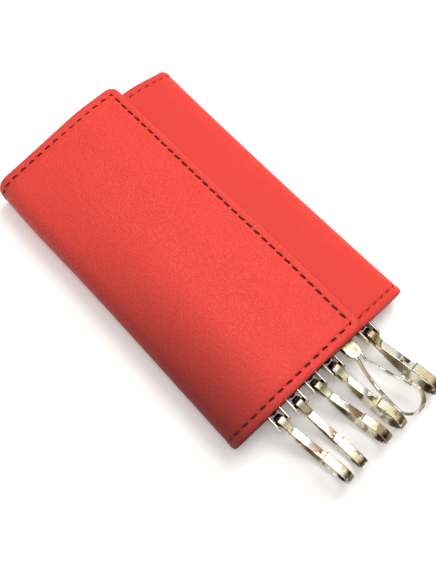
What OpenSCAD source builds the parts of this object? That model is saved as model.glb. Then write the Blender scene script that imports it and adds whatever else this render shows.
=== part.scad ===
// Folded leather key case with a row of six swivelling key hooks at one short end.
// Origin: centre of the back panel's flat underside. +X points to the hooks,
// -Y to the outer flap's fold, +Y to the inner flap's fold, +Z up through the closed case.

/* [Case] */
// Length of the leather, from short end to short end
case_len = 104; // [80:1:130]
// Width of the closed case, from fold to fold
case_width = 66; // [62:0.5:76]
// Height of the key space between the back panel and the inner flap
key_space = 6.5; // [6.2:0.1:9]
// Width that the outer flap covers, from its fold
outer_cover = 46; // [45:0.5:50]
// Distance that the inner flap reaches in under the outer flap
flap_overlap = 12; // [12:0.5:13]
// Radius of the outer flap's fold
outer_fold_r = 5.5; // [5.2:0.1:6.5]
// Radius of the inner flap's fold
inner_fold_r = 4.4; // [4.2:0.1:5]
// Distance from the inner fold's outermost line to the crease where the inner flap starts to slope down
inner_crease = 15.5; // [15:0.1:16]
// Rounding of the outer flap's free corners
outer_corner_r = 3; // [1.5:0.5:8]
// Rounding of the inner flap's free corners
inner_corner_r = 2; // [1:0.5:6]

/* [Sheets] */
// Thickness of the outer leather
leather_t = 1.2; // [0.8:0.1:1.6]
// Thickness of the stiffening board between leather and lining
board_t = 0.6; // [0.4:0.1:0.9]
// Thickness of the lining
lining_t = 0.6; // [0.4:0.1:0.9]
// Width of the leather turned in along a free edge
turn_w = 4.5; // [3.5:0.5:4.5]
// Distance that the lining stays back from a free edge
lining_inset = 1.2; // [0.6:0.1:2.5]
// Gap where the leather of a panel meets that of a fold
fold_gap = 0.12; // [0.06:0.02:0.3]

/* [Press stud] */
// Height between the inner flap and the outer flap, which holds the press stud
stud_space = 1.8; // [1.6:0.1:3]
// Distance of the press stud's hidden head from the outer flap's turned edge
stud_margin = 0.5; // [0.2:0.1:0.6]
// Height left free between the stud's top and the socket
stud_play = 0.15; // [0.1:0.05:0.25]
// Radius of the socket
socket_r = 4.5; // [4.2:0.1:5]
// Thickness of the socket
socket_t = 1; // [0.8:0.05:1.3]
// Distance from the socket to the crease where the outer flap starts to slope down
crease_margin = 1.5; // [0.8:0.1:3]
// Radius of the socket's mouth
socket_mouth_r = 3; // [2.8:0.1:3.4]
// Radius of the stud's base
stud_base_r = 3.8; // [3.4:0.1:4]
// Thickness of the stud's base
stud_base_t = 0.4; // [0.3:0.05:0.6]
// Radius of the stud's neck, where it is widest
stud_r = 2; // [1.6:0.1:2.2]
// Radius of the posts that hold socket and stud
post_r = 1.1; // [0.8:0.1:1.4]
// Radius of the posts' heads
post_head_r = 3; // [2.6:0.1:3.2]
// Thickness of the posts' heads
post_head_t = 0.35; // [0.25:0.05:0.4]

/* [Hook plate] */
// Distance between neighbouring hooks
hook_pitch = 6.95; // [6.5:0.05:7.6]
// Distance of the row's middle from the case's middle, towards the inner fold
row_shift = -1.3; // [-3:0.1:3]
// Thickness of the hook plate
plate_t = 0.8; // [0.5:0.1:1]
// Length of the hook plate's foot, into the case
plate_foot = 12; // [10:0.5:18]
// Distance from the outer hooks to the plate's ends
plate_margin = 5.2; // [4:0.1:7]
// Height of the plate's upright flange above the lining
flange_h = 5.6; // [5.2:0.1:6]
// Radius of the plate's rounded corners
plate_corner_r = 1.6; // [0.8:0.1:2.4]
// Inner radius of the bend between foot and flange
bend_r = 0.6; // [0.4:0.1:1]
// Distance of the flange's face from the case's short end
flange_inset = 1.6; // [1.2:0.1:4]
// Radius of the rivets that hold the plate
rivet_r = 1.3; // [1:0.1:1.6]
// Radius of these rivets' heads
rivet_head_r = 2.4; // [2:0.1:3]
// Height of these rivets' domed heads
rivet_head_h = 0.9; // [0.6:0.1:1.2]

/* [Hook brackets] */
// Thickness of a bracket's ears and web
ear_t = 0.5; // [0.4:0.05:0.6]
// Clear width between the ears
ear_gap = 3.6; // [3.4:0.1:3.8]
// Half of the ears' height
ear_half = 1.95; // [1.7:0.05:2]
// Distance from the web's back to the pin
pin_reach = 4.4; // [4.2:0.1:6]
// Outer radius of the bend between web and ear
ear_bend_r = 1; // [0.6:0.1:1.2]
// Radius of the cross pin
pin_r = 0.6; // [0.5:0.05:0.65]
// Radius of the pin's rolled ends
pin_end_r = 0.95; // [0.8:0.05:1.1]
// Thickness of the pin's rolled ends
pin_end_t = 0.2; // [0.15:0.05:0.3]
// Radius of a swivel rivet's shank
swivel_r = 0.85; // [0.7:0.05:0.95]
// Radius of a swivel rivet's heads
swivel_head_r = 1.45; // [1.3:0.05:1.5]
// Thickness of a swivel rivet's heads
swivel_head_t = 0.45; // [0.35:0.05:0.5]

/* [Hook loops] */
// Length of a loop from its pin to its far end
loop_len = 23.5; // [21:0.5:28]
// Width of a loop at its round end
loop_width = 9; // [8.6:0.1:9.4]
// Width of the strip that the loop is bent from
strip_w = 2.5; // [2:0.1:2.6]
// Thickness of that strip
strip_t = 0.7; // [0.5:0.05:0.8]
// Distance from the pin to the loop's narrow neck
neck_reach = 3.2; // [3:0.1:3.6]
// Half of the loop's width at the middle of the strip in the neck
neck_half = 1.05; // [0.95:0.05:1.2]
// Width of the spring gate
gate_w = 2; // [1.6:0.1:2.2]
// Thickness of the spring gate
gate_t = 0.4; // [0.3:0.05:0.45]
// Distance that the gate reaches in behind the loop's tip
gate_lap = 3.6; // [2.5:0.1:4.5]

/* [Clearances] */
// Play between a pin and the eye that turns on it
eye_play = 0.3; // [0.2:0.05:0.35]
// Play between a swivel rivet and its bracket
swivel_play = 0.08; // [0.04:0.02:0.12]
// Play between the gate and the loop
gate_play = 0.1; // [0.08:0.02:0.2]
// Play round a tight post or rivet
tight_play = 0.02; // [0.01:0.01:0.04]

/* [Hidden] */
$fn = 48;
HOOKS = 6;

// How each hook lies at rest: its turn about its swivel rivet, its tilt about its pin
// and its lean sideways within the pin's play, in degrees
swivel_deg = [0, 6, 0, 0, -84, 0];
tilt_deg = [3, 3, 3, 3, -4.5, 3];
lean_deg = [7, 3, 9.5, 6, 0, 6];

// Overrun of a cutting tool past the face that it cuts
over = 0.5;

panel_t = leather_t + board_t + lining_t;
inner_top = panel_t + key_space + panel_t;
case_h = inner_top + stud_space + panel_t;
outer_fold_y = -case_width / 2 + outer_fold_r;
inner_fold_y = case_width / 2 - inner_fold_r;
inner_cover = case_width - outer_cover + flap_overlap;
stud_y = -case_width / 2 + outer_cover - turn_w - stud_margin - post_head_r;

// Each flap is level where the flaps overlap, and slopes down from a crease to its lower fold
function slope(run, r) = atan2(run[1], run[0]) - asin(r / norm(run));
crease_y = stud_y - socket_r - crease_margin;
crease_run = [crease_y - outer_fold_y, case_h - outer_fold_r];
outer_slope = slope(crease_run, outer_fold_r);
inner_slope = slope([inner_crease - inner_fold_r, inner_top - inner_fold_r], inner_fold_r);

// Each flap as its fold's radius, its slope, its free edge and its height
outer_flap = [outer_fold_r, outer_slope, -case_width / 2 + outer_cover, case_h];
inner_flap = [inner_fold_r, inner_slope, -case_width / 2 + inner_cover, inner_top];

// Heights of the press stud's faces
stud_z = inner_top;
socket_z = case_h - panel_t;
stud_h = stud_space - 2 * stud_base_t - stud_play;

// The hook row: lining's top, flange's front face, swivel axis, brackets and pins along X
lining_z = panel_t;
flange_x = case_len / 2 - flange_inset;
swivel_z = panel_t + key_space / 2;
web_x = flange_x + swivel_play;
pin_x = web_x + pin_reach;
ear_out = ear_gap / 2 + ear_t;
plate_len = (HOOKS - 1) * hook_pitch + 2 * plate_margin;
rivet_x = flange_x - plate_foot / 2 - plate_t;

// Loop and gate outlines: radii at the middle of the strip
eye_in = pin_r + eye_play;
eye_r = eye_in + strip_t / 2;
end_r = loop_width / 2 - strip_t / 2;
end_x = loop_len - loop_width / 2;
gate_ring_in = eye_in + strip_t + gate_play;
gate_ring_r = gate_ring_in + gate_t / 2;

// Angles where the strip leaves the eye, reaches the round end and slopes at the neck
eye_leave = 25;
end_join = 93;
gate_leave = 70;
gate_ring_end = 250;

// The arm bows out between neck and round end: its control point, and where the tip ends
arm_bow_shares = [0.4, 0.82];
tip_share = 0.72;
neck_pull_share = 0.46;
gate_dip_shares = [0.26, 0.26];
gate_pull_shares = [0.72, 0.34];

function hook_y(i) = row_shift + (i - (HOOKS + 1) / 2) * hook_pitch;
function arc(c, r, a, b, n) = [for (k = [0:n]) c + r * [cos(a + (b - a) * k / n), sin(a + (b - a) * k / n)]];
function bend(a, b, c, n, t0 = 0, t1 = 1) =
    [for (k = [0:n]) let (t = t0 + (t1 - t0) * k / n) (1 - t) * (1 - t) * a + 2 * t * (1 - t) * b + t * t * c];
function unit(v) = v / norm(v);
function heading(p, k) =
    unit((k > 0 ? unit(p[k] - p[k - 1]) : [0, 0]) + (k < len(p) - 1 ? unit(p[k + 1] - p[k]) : [0, 0]));
function beside(p, d) = [for (k = [0:len(p) - 1]) let (h = heading(p, k)) p[k] + d * [-h[1], h[0]]];
function flip(p) = [for (k = [len(p) - 1:-1:0]) p[k]];
function mirrored(p) = [for (q = p) [q[0], -q[1]]];
function strip(p, t) = concat(beside(p, t / 2), flip(beside(p, -t / 2)));

// Middle line of the loop's strip: out of the eye, through the neck, along the lower arm,
// round the far end and back along the upper arm to the tip
neck = [neck_reach, -neck_half];
arm_end = [end_x, 0] + end_r * [cos(end_join), -sin(end_join)];
arm_bow = [neck[0] + arm_bow_shares[0] * (arm_end[0] - neck[0]), neck[1] + arm_bow_shares[1] * (arm_end[1] - neck[1])];
eye_exit = (eye_r - tight_play) * [sin(eye_leave), -cos(eye_leave)];
neck_pull = neck - neck_pull_share * (neck[0] - eye_exit[0]) * unit(arm_bow - neck);
lower_arm = bend(neck, arm_bow, arm_end, 9);
tip_arm = flip(mirrored(bend(neck, arm_bow, arm_end, 4, tip_share, 1)));
loop_line = concat(bend(eye_exit, neck_pull, neck, 5), [for (k = [1:9]) lower_arm[k]],
    [for (k = [1:15]) arc([end_x, 0], end_r, -end_join, end_join, 16)[k]], tip_arm);

// Middle line of the gate: from its ring round the eye, through a dip, straight to its free end
tip_end = tip_arm[len(tip_arm) - 1];
gate_end = [tip_end[0] + gate_lap, end_r - strip_t / 2 - gate_play - gate_t];
gate_start = gate_ring_r * [cos(gate_leave), sin(gate_leave)];
gate_dip = [gate_dip_shares[0] * gate_end[0], gate_dip_shares[1] * gate_end[1]];
gate_pull = [gate_pull_shares[0] * gate_dip[0], gate_start[1] - 2 * gate_pull_shares[1] * gate_start[1]];
gate_line = concat(arc([0, 0], gate_ring_r, gate_ring_end, gate_leave, 12),
    [for (k = [1:6]) bend(gate_start, gate_pull, gate_dip, 6)[k]], [gate_end]);

// Draws an outline given in Y and Z and extends it along the case
module along_case(length) {
    rotate([90, 0, 90]) linear_extrude(height = length, center = true) children();
}

// Part of a ring, from angle a to angle b
module band(r, t, a, b) {
    intersection() {
        difference() {
            circle(r);
            circle(r - t);
        }
        polygon([[0, 0], 2 * r * [cos(a), sin(a)], 2 * r * [cos((a + b) / 2), sin((a + b) / 2)],
            2 * r * [cos(b), sin(b)]]);
    }
}

// Plan of a flap whose free corners are rounded
module flap_plan(half, y0, y1, r) {
    translate([-half, y0]) square([2 * half, y1 - y0 - r]);
    translate([-half + r, y1 - r - over]) square([2 * (half - r), r + over]);
    for (side = [-1, 1]) translate([side * (half - r), y1 - r]) circle(r);
}

function fold_y(flap) = -case_width / 2 + flap[0];

// Y where a flap's board and turned edges start, just past its fold
function start_y(flap) = fold_y(flap) - (flap[0] - leather_t) * sin(flap[1]) + board_t;

// Section under a flap's outer face, which is level at its free side and slopes down to its fold
module section_under(flap, depth, more) intersection() {
    translate([-case_width, -more]) square([case_width + flap[2] + more, flap[3] - depth + more]);
    translate([fold_y(flap), flap[0]]) rotate(flap[1]) translate([-more, -case_h - more])
        square([2 * case_width, case_h + more + flap[0] - depth]);
}

// Layer of a flap between two depths
module layer(flap, a, b) difference() {
    section_under(flap, a, 0);
    section_under(flap, b, over);
}

// A flap's share of the fold, from the slope's start to the middle cut
module fold_share(flap, depth, t) translate([fold_y(flap), flap[0]]) rotate(flap[1])
    band(flap[0] - depth, t, 90, 135 - flap[1] / 2);

// Block over a plan with rounded free corners, from a start in Y
module flap_block(flap, half, y0, inset, corner_r) {
    linear_extrude(2 * case_h) flap_plan(half, y0, flap[2] - inset, corner_r);
}

// Block inside the turned edges
module board_block(flap) {
    inside = [case_len - 2 * turn_w, flap[2] - turn_w - start_y(flap), 2 * case_h];
    translate([-inside[0] / 2, start_y(flap), 0]) cube(inside);
}

// Leather of a flap on the -Y side: the sheet with its share of the fold, and its turned edges
module flap_leather(flap, corner_r) {
    intersection() {
        along_case(case_len) {
            layer(flap, 0, leather_t);
            fold_share(flap, 0, leather_t);
        }
        flap_block(flap, case_len / 2, -case_width, 0, corner_r);
    }
    difference() {
        intersection() {
            along_case(case_len) layer(flap, leather_t, leather_t + board_t);
            flap_block(flap, case_len / 2, start_y(flap), 0, corner_r);
        }
        board_block(flap);
    }
}

module flap_board(flap) intersection() {
    along_case(case_len) layer(flap, leather_t, leather_t + board_t);
    board_block(flap);
}

// Lining of a flap, which steps over the board's edge into the fold
module flap_lining(flap, corner_r) {
    length = case_len - 2 * lining_inset;
    intersection() {
        along_case(length) {
            layer(flap, leather_t + board_t, panel_t);
            difference() {
                layer(flap, leather_t, leather_t + board_t);
                translate([start_y(flap), 0]) square([case_width, 2 * case_h]);
            }
            fold_share(flap, leather_t, lining_t);
        }
        flap_block(flap, length / 2, -case_width, lining_inset, corner_r);
    }
}

// The part of a fold that turns as the case opens
module fold_turning(flap, r, t, length) {
    gap = fold_gap / r * 180 / PI;
    along_case(length) translate([fold_y(flap), flap[0]]) band(r, t, 135 + flap[1] / 2 + gap, 225 - gap);
}

module centre_leather() color([0.89, 0.22, 0.17]) {
    along_case(case_len) {
        translate([outer_fold_y, 0]) square([inner_fold_y - outer_fold_y, leather_t]);
        translate([outer_fold_y, outer_fold_r]) band(outer_fold_r, leather_t, 225, 270);
        translate([inner_fold_y, inner_fold_r]) band(inner_fold_r, leather_t, 270, 315);
    }
    for (side = [-1, 1]) translate([side * (case_len - turn_w) / 2, 0, 0]) along_case(turn_w)
        translate([outer_fold_y + board_t, leather_t]) square([inner_fold_y - outer_fold_y - 2 * board_t, board_t]);
}

module centre_board() color([0.55, 0.5, 0.45]) difference() {
    translate([-case_len / 2 + turn_w, outer_fold_y + board_t, leather_t])
        cube([case_len - 2 * turn_w, inner_fold_y - outer_fold_y - 2 * board_t, board_t]);
    plate_rivet_places() cylinder(r = rivet_head_r + tight_play, h = 2 * lining_z, center = true);
}

module centre_lining() color([0.2, 0.06, 0.06]) difference() {
    along_case(case_len - 2 * lining_inset) {
        translate([outer_fold_y, leather_t + board_t]) square([inner_fold_y - outer_fold_y, lining_t]);
        translate([outer_fold_y, leather_t]) square([board_t, board_t + lining_t]);
        translate([inner_fold_y - board_t, leather_t]) square([board_t, board_t + lining_t]);
        translate([outer_fold_y, outer_fold_r]) band(outer_fold_r - leather_t, lining_t, 225, 270);
        translate([inner_fold_y, inner_fold_r]) band(inner_fold_r - leather_t, lining_t, 270, 315);
    }
    plate_rivet_places() cylinder(r = rivet_r + tight_play, h = 2 * (lining_z + over), center = true);
}

module outer_fold_leather() color([0.89, 0.22, 0.17])
    fold_turning(outer_flap, outer_fold_r, leather_t, case_len);

module outer_fold_lining() color([0.2, 0.06, 0.06])
    fold_turning(outer_flap, outer_fold_r - leather_t, lining_t, case_len - 2 * lining_inset);

module outer_flap_leather() color([0.89, 0.22, 0.17]) flap_leather(outer_flap, outer_corner_r);

module outer_flap_board() color([0.55, 0.5, 0.45]) difference() {
    flap_board(outer_flap);
    translate([0, stud_y, socket_z]) cylinder(r = post_head_r + tight_play, h = panel_t);
}

module outer_flap_lining() color([0.2, 0.06, 0.06]) difference() {
    flap_lining(outer_flap, outer_corner_r);
    translate([0, stud_y, socket_z - over]) cylinder(r = post_r + tight_play, h = panel_t + over);
}

module inner_fold_leather() color([0.89, 0.22, 0.17]) mirror([0, 1, 0])
    fold_turning(inner_flap, inner_fold_r, leather_t, case_len);

module inner_fold_lining() color([0.2, 0.06, 0.06]) mirror([0, 1, 0])
    fold_turning(inner_flap, inner_fold_r - leather_t, lining_t, case_len - 2 * lining_inset);

module inner_flap_leather() color([0.91, 0.24, 0.19]) difference() {
    mirror([0, 1, 0]) flap_leather(inner_flap, inner_corner_r);
    stud_hole();
}

module inner_flap_board() color([0.55, 0.5, 0.45]) difference() {
    mirror([0, 1, 0]) flap_board(inner_flap);
    stud_hole();
}

module inner_flap_lining() color([0.2, 0.06, 0.06]) difference() {
    mirror([0, 1, 0]) flap_lining(inner_flap, inner_corner_r);
    stud_hole();
}

// Hole for the stud's post through the inner flap
module stud_hole() {
    translate([0, stud_y, stud_z - panel_t - over]) cylinder(r = post_r + tight_play, h = panel_t + 2 * over);
}

// The socket under the outer flap: a thick ring with a mouth that widens downwards
module snap_socket() color([0.8, 0.78, 0.72]) translate([0, stud_y, socket_z]) rotate_extrude()
    polygon([[post_r + tight_play, 0], [socket_r, 0], [socket_r, -socket_t + stud_base_t],
        [socket_r - stud_base_t, -socket_t], [socket_mouth_r + stud_base_t / 2, -socket_t],
        [socket_mouth_r, -socket_t + stud_base_t / 2], [socket_mouth_r, -stud_base_t], [post_r + tight_play, -stud_base_t]]);

// The socket's post, whose head stays hidden between lining and leather
module snap_socket_post() color([0.7, 0.68, 0.64]) translate([0, stud_y, socket_z]) {
    translate([0, 0, -stud_base_t]) cylinder(r = post_r, h = stud_base_t + lining_t + post_head_t / 2);
    translate([0, 0, lining_t]) cylinder(r = post_head_r, h = post_head_t);
}

// The stud on the inner flap: a base ring and a domed stud with a drawn-in neck
module snap_stud() color([0.8, 0.78, 0.72]) translate([0, stud_y, stud_z]) rotate_extrude()
    polygon([[post_r + tight_play, 0], [stud_base_r, 0], [stud_base_r, stud_base_t / 2],
        [stud_base_r - stud_base_t, stud_base_t], [stud_r - stud_base_t / 2, stud_base_t],
        [stud_r, stud_base_t + stud_h / 2], [stud_r - stud_base_t, stud_base_t + stud_h],
        [0, stud_base_t + stud_h], [0, stud_base_t + stud_h / 2], [post_r + tight_play, stud_base_t + stud_h / 2]]);

// The stud's post, with its head on the lining's side
module snap_stud_post() color([0.7, 0.68, 0.64]) translate([0, stud_y, stud_z - panel_t]) {
    cylinder(r = post_r, h = panel_t + stud_base_t);
    translate([0, 0, -post_head_t]) cylinder(r = post_head_r, h = post_head_t);
}

// The plate's rivets stand midway between the two outer hooks at each end of the row
module plate_rivet_places() {
    for (side = [-1, 1]) translate([rivet_x, row_shift + side * (HOOKS / 2 - 1) * hook_pitch, 0]) children();
}

// The bent plate that carries the hooks, with a foot on the lining and an upright flange
module hook_plate() color([0.8, 0.78, 0.7]) difference() {
    intersection() {
        translate([0, row_shift, lining_z]) rotate([90, 0, 0]) linear_extrude(height = plate_len, center = true) {
            translate([flange_x - plate_foot, 0]) square([plate_foot - plate_t - bend_r, plate_t]);
            translate([flange_x - plate_t, plate_t + bend_r]) square([plate_t, flange_h - plate_t - bend_r]);
            translate([flange_x - plate_t - bend_r, plate_t + bend_r]) band(bend_r + plate_t, plate_t, 270, 360);
        }
        union() {
            translate([0, row_shift, lining_z - over]) linear_extrude(plate_t + 2 * over) rotate(90)
                flap_plan(plate_len / 2, -flange_x - over, -flange_x + plate_foot, plate_corner_r);
            translate([flange_x - plate_foot, row_shift, 0]) rotate([90, 0, 90]) linear_extrude(plate_foot + over)
                flap_plan(plate_len / 2, lining_z + plate_t, lining_z + flange_h, plate_corner_r);
        }
    }
    plate_rivet_places() cylinder(r = rivet_r + tight_play, h = lining_z + flange_h);
    for (i = [1:HOOKS]) translate([flange_x, hook_y(i), swivel_z]) rotate([0, 90, 0])
        cylinder(r = swivel_r + tight_play, h = 2 * plate_foot, center = true);
}

// Two rivets through plate and lining, clenched under the board
module plate_rivets() color([0.75, 0.73, 0.68]) plate_rivet_places() {
    translate([0, 0, leather_t]) cylinder(r = rivet_head_r, h = board_t);
    translate([0, 0, leather_t + board_t / 2]) cylinder(r = rivet_r, h = board_t / 2 + lining_t + plate_t + rivet_head_h / 2);
    translate([0, 0, lining_z + plate_t]) rotate_extrude() intersection() {
        translate([0, rivet_head_h - dome_r]) circle(dome_r);
        square([rivet_head_r, rivet_head_h]);
    }
}

// Radius of the sphere that a plate rivet's domed head is cut from
dome_r = (rivet_head_r * rivet_head_r + rivet_head_h * rivet_head_h) / (2 * rivet_head_h);

// One rivet for each bracket: a head behind the flange and one in front of the web
module swivel_rivets() color([0.75, 0.73, 0.68]) for (i = [1:HOOKS])
    translate([flange_x, hook_y(i), swivel_z]) rotate([0, 90, 0]) {
        translate([0, 0, -plate_t - swivel_head_t]) cylinder(r = swivel_head_r, h = swivel_head_t);
        translate([0, 0, -plate_t - swivel_head_t / 2])
            cylinder(r = swivel_r, h = swivel_head_t + plate_t + ear_t + 2 * swivel_play);
        translate([0, 0, ear_t + 2 * swivel_play]) cylinder(r = swivel_head_r, h = swivel_head_t);
    }

// Places a hook's bracket, or with its tilt and lean a hook's loop
module at_bracket(i) {
    translate([pin_x, hook_y(i), swivel_z]) rotate([swivel_deg[i - 1], 0, 0]) children();
}

module at_loop(i) {
    at_bracket(i) rotate([0, tilt_deg[i - 1], 0]) rotate([0, 0, lean_deg[i - 1]]) children();
}

// U bracket: web on the swivel rivet, two ears with round ends that hold the pin
module bracket(i) color([0.78, 0.76, 0.7]) at_bracket(i) difference() {
    intersection() {
        linear_extrude(height = 2 * ear_half, center = true) difference() {
            bracket_plan(ear_out, ear_bend_r, 0);
            bracket_plan(ear_gap / 2, ear_bend_r - ear_t, ear_t);
        }
        rotate([90, 0, 0]) linear_extrude(height = 2 * (ear_out + over), center = true) {
            circle(ear_half);
            translate([-pin_reach, -ear_half]) square([pin_reach, 2 * ear_half]);
        }
    }
    rotate([90, 0, 0]) cylinder(r = pin_r + tight_play, h = 2 * (ear_out + over), center = true);
    translate([-pin_reach, 0, 0]) rotate([0, 90, 0]) cylinder(r = swivel_r + swivel_play, h = 2 * over + ear_t, center = true);
}

// Plan of the bracket's outside or inside, open towards the ears' ends
module bracket_plan(half, r, back) {
    translate([-pin_reach + back + r, -half]) square([pin_reach + ear_half - back - r + (back > 0 ? over : 0), 2 * half]);
    translate([-pin_reach + back, -half + r]) square([r + over, 2 * (half - r)]);
    for (side = [-1, 1]) translate([-pin_reach + back + r, side * (half - r)]) circle(r);
}

// Cross pin with rolled ends outside the ears
module pin(i) color([0.75, 0.73, 0.68]) at_bracket(i) rotate([90, 0, 0]) {
    cylinder(r = pin_r, h = 2 * ear_out + pin_end_t, center = true);
    for (side = [-1, 1]) translate([0, 0, side * (ear_out + pin_end_t / 2)])
        cylinder(r = pin_end_r, h = pin_end_t, center = true);
}

// Pear-shaped hook bent from flat strip, with an eye round the pin and an open upper side
module loop(i) color([0.84, 0.82, 0.74]) at_loop(i) rotate([90, 0, 0]) difference() {
    union() {
        cylinder(r = eye_in + strip_t, h = strip_w, center = true);
        linear_extrude(height = strip_w, center = true) polygon(strip(loop_line, strip_t));
    }
    cylinder(r = eye_in, h = strip_w + 2 * over, center = true);
}

// Spring leaf that closes the hook's upper side, rolled round the eye
module gate(i) color([0.8, 0.77, 0.68]) at_loop(i) rotate([90, 0, 0])
    linear_extrude(height = gate_w, center = true) polygon(strip(gate_line, gate_t));

centre_leather();
centre_board();
centre_lining();
outer_fold_leather();
outer_fold_lining();
outer_flap_leather();
outer_flap_board();
outer_flap_lining();
inner_fold_leather();
inner_fold_lining();
inner_flap_leather();
inner_flap_board();
inner_flap_lining();
snap_socket();
snap_socket_post();
snap_stud();
snap_stud_post();
hook_plate();
plate_rivets();
swivel_rivets();
bracket(1);  // bracket_1
bracket(2);  // bracket_2
bracket(3);  // bracket_3
bracket(4);  // bracket_4
bracket(5);  // bracket_5
bracket(6);  // bracket_6
pin(1);  // pin_1
pin(2);  // pin_2
pin(3);  // pin_3
pin(4);  // pin_4
pin(5);  // pin_5
pin(6);  // pin_6
loop(1);  // loop_1
loop(2);  // loop_2
loop(3);  // loop_3
loop(4);  // loop_4
loop(5);  // loop_5
loop(6);  // loop_6
gate(1);  // gate_1
gate(2);  // gate_2
gate(3);  // gate_3
gate(4);  // gate_4
gate(5);  // gate_5
gate(6);  // gate_6
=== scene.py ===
"""Looks of the folded leather key case with its row of six swivelling key hooks.

Shapes are worked in millimetres, in the frame of the CAD model, and made metres as each piece is finished.
"""

import math

import bmesh
import bpy
from mathutils import Matrix, Vector, noise


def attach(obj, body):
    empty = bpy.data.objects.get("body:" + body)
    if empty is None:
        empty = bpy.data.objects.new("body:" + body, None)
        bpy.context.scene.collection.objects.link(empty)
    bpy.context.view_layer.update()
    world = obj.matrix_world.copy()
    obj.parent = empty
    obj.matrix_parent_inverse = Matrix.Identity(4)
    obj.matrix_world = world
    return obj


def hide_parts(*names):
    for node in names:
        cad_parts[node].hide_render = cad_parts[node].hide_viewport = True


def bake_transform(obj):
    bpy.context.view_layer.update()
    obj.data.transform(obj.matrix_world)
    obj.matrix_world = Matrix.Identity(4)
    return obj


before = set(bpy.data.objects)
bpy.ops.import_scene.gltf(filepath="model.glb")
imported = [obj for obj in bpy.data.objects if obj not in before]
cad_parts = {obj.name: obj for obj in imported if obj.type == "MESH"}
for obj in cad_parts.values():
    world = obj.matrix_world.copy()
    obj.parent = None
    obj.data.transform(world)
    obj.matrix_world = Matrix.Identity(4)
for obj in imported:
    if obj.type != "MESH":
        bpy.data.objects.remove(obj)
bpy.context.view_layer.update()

MM = 0.001

# Case and sheets
CASE_LEN = 104.0
CASE_WIDTH = 66.0
LEATHER = 1.2
BOARD = 0.6
LINING = 0.6
PANEL = LEATHER + BOARD + LINING
LINING_INSET = 1.2
KEY_SPACE = 6.5
STUD_SPACE = 1.8
INNER_TOP = 2 * PANEL + KEY_SPACE
OUTER_TOP = INNER_TOP + STUD_SPACE + PANEL
OUTER_FOLD_R = 5.5
INNER_FOLD_R = 4.4
OUTER_CREASE = 1.0
INNER_CREASE = 17.5
CREASE_R = 40.0
OUTER_COVER = 46.0
INNER_COVER = 32.0
OUTER_CORNER = 3.0
INNER_CORNER = 2.0
STUD_Y = 5.0

# Hook row
HOOKS = 6
HOOK_PITCH = 6.95
ROW_SHIFT = -1.3
PLATE_T = 0.8
PLATE_LEN = 45.15
PLATE_FOOT = 12.0
PLATE_CORNER = 1.6
FLANGE_H = 5.6
FLANGE_INSET = 1.6
FLANGE_X = CASE_LEN / 2 - FLANGE_INSET
SWIVEL_PLAY = 0.08
SWIVEL_Z = PANEL + KEY_SPACE / 2
WEB_X = FLANGE_X + SWIVEL_PLAY
PIN_REACH = 4.4
PIN_X = WEB_X + PIN_REACH
EAR_T = 0.5
EAR_GAP = 3.6
EAR_HALF = 1.95
EAR_BEND = 1.0
PIN_R = 0.6
LOOP_LEN = 23.5
LOOP_WIDTH = 9.0
STRIP_W = 2.5
STRIP_T = 0.7
GATE_W = 2.0
GATE_T = 0.4
EYE_PLAY = 0.3
GATE_PLAY = 0.1
NECK_REACH = 3.2
NECK_HALF = 1.05
GATE_LAP = 3.6
PLATE_BEND = 1.0
PLATE_RIVET_R = 1.3
PLATE_HEAD_R = 2.4
PLATE_HEAD_H = 0.8
SWIVEL_SHANK_R = 0.85
SWIVEL_HEAD_R = 1.42
SWIVEL_FRONT_H = 1.4
SWIVEL_REAR_H = 0.35

# How each hook lies at rest: turn of its bracket, tilt of its loop, lean within the pin's play
SWIVEL_DEG = [0, 6, 0, 0, -84, 0]
TILT_DEG = [3, 3, 3, 3, -4.5, 3]
LEAN_DEG = [7, 3, 9.5, 6, 0, 6]

# Sewing: distance of the seam from the edge, pitches, length of a stitch, its slant, thread
SEAM = 2.6
PITCH = 3.15
FREE_PITCH = 3.0
STITCH = 1.85
FREE_STRETCH = 1.3
SHORT_STRETCH = 1.12
SLANT = 0.14
FREE_SLANT = 0.16
STITCH_STEPS = [STITCH * (k / 8 - 0.5) for k in range(9)]
CORNER_BEND = 0.35
THREAD_R = 0.28
THREAD_ROUND = [math.tau * m / 8 for m in range(8)]

# Attribute that holds a vertex's place on its sheet or strip. On a sheet its third number grows by BACK_FACE
# on the back, and by RIM_TONE at the cut rim, over RIM_WIDTH millimetres.
SKIN = "skin"
BACK_FACE = 0.002
RIM_TONE = 0.01
RIM_WIDTH = 0.5

# Outputs of shader nodes, by their place
VECTOR_OUT = 1
COLOUR_OUT = 1
OBJECT_OUT = 3
MIX_OUT = 2
CAMERA_RAY = 0
GLOSSY_RAY = 3
TRANSMISSION_RAY = 6


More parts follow.
